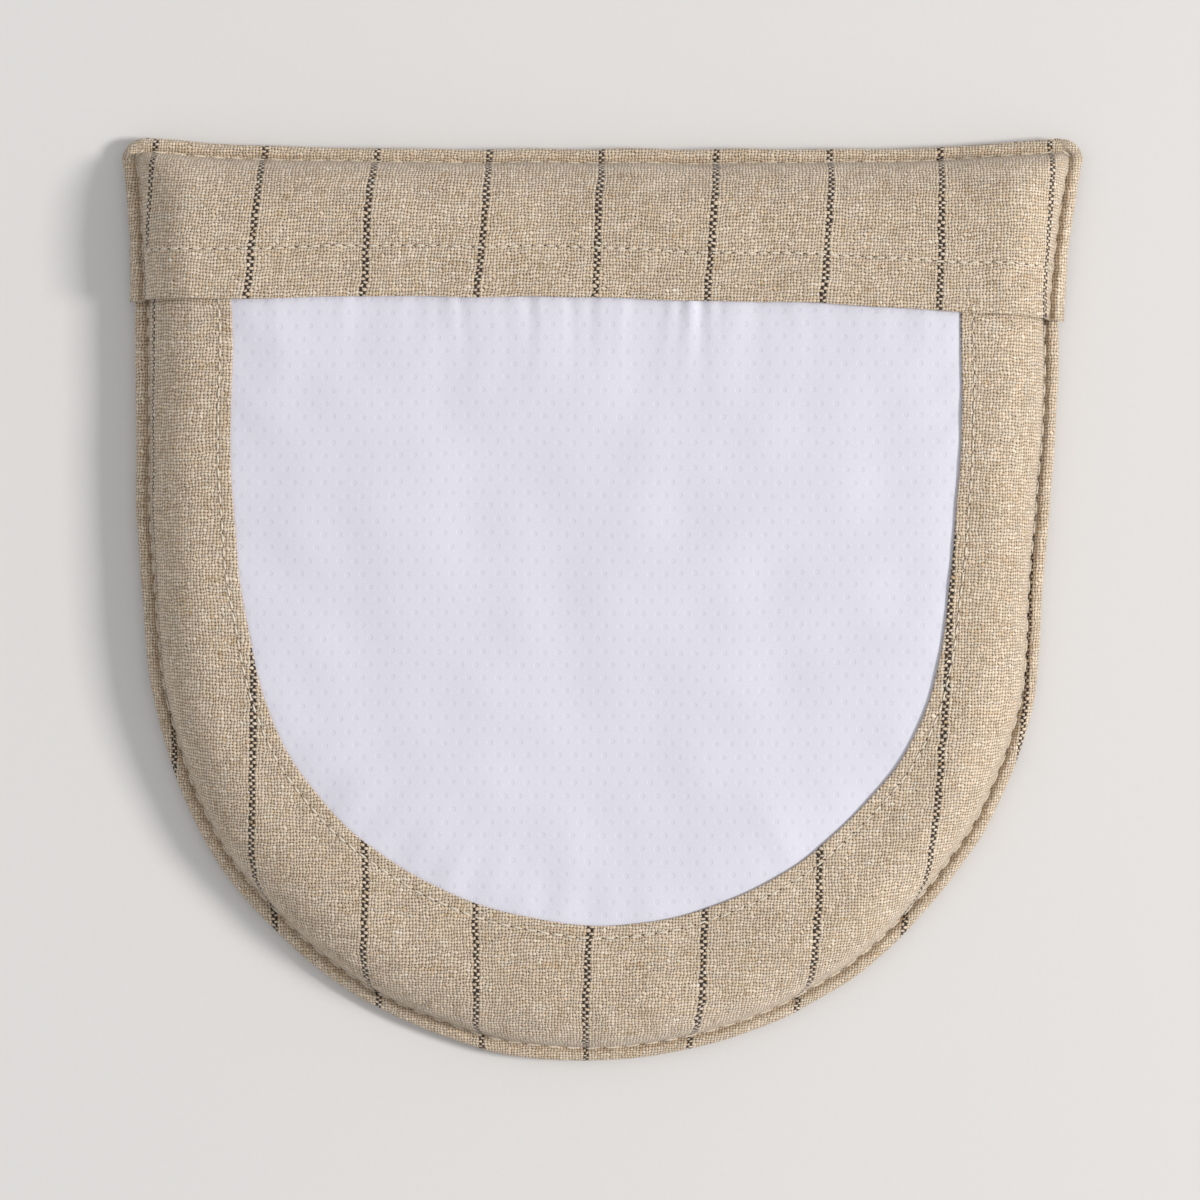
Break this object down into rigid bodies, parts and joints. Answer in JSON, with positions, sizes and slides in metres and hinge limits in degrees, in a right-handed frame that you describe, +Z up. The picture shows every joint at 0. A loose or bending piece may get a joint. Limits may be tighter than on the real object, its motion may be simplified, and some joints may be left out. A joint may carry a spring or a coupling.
{
  "type": "oven mitt",
  "caption": "U-shaped padded pocket mitt with a heat-resistant window in a striped linen border, and a cuff that folds over the hand pocket's mouth.",
  "frame": {"origin": "middle of the mitt's underside, on the surface that it lies on", "axes": "+X to the right across the cuff, +Y towards the cuff, +Z up out of the front"},
  "size_m": [0.2188, 0.21, 0.018],
  "materials": {
    "linen": "matte plain weave with dark pinstripes",
    "satin": "soft sheen, dotted twill",
    "lining": "matte plain weave",
    "wadding": "matte loose fibre",
    "thread": "matte twisted thread"
  },
  "bodies": {
    "back_pad": {"back_shell": "linen", "back_batting": "wadding", "back_lining": "lining", "back_edge_stitching": "thread"},
    "front_pad": {"front_frame": "linen", "window_panel": "satin", "front_batting": "wadding", "front_lining": "lining", "frame_edge_stitching": "thread", "window_stitching": "thread", "mouth_stitching": "thread"},
    "cuff": {"cuff_band": "linen", "cuff_edge_stitching": "thread", "cuff_hem_stitching": "thread"}
  },
  "joints": [
    {"name": "pocket_open", "type": "hinge", "parent": "back_pad", "child": "front_pad", "pos_m": [0, -0.105, 0.00285], "axis": [1, 0, 0], "range_deg": [0, 7]},
    {"name": "cuff_lift", "type": "hinge", "parent": "back_pad", "child": "cuff", "pos_m": [0, 0.105, 0.00285], "axis": [-1, 0, 0], "range_deg": [0, 56]}
  ],
  "couplings": [
    {"joint": "cuff_lift", "follows": "pocket_open", "ratio": 8}
  ]
}
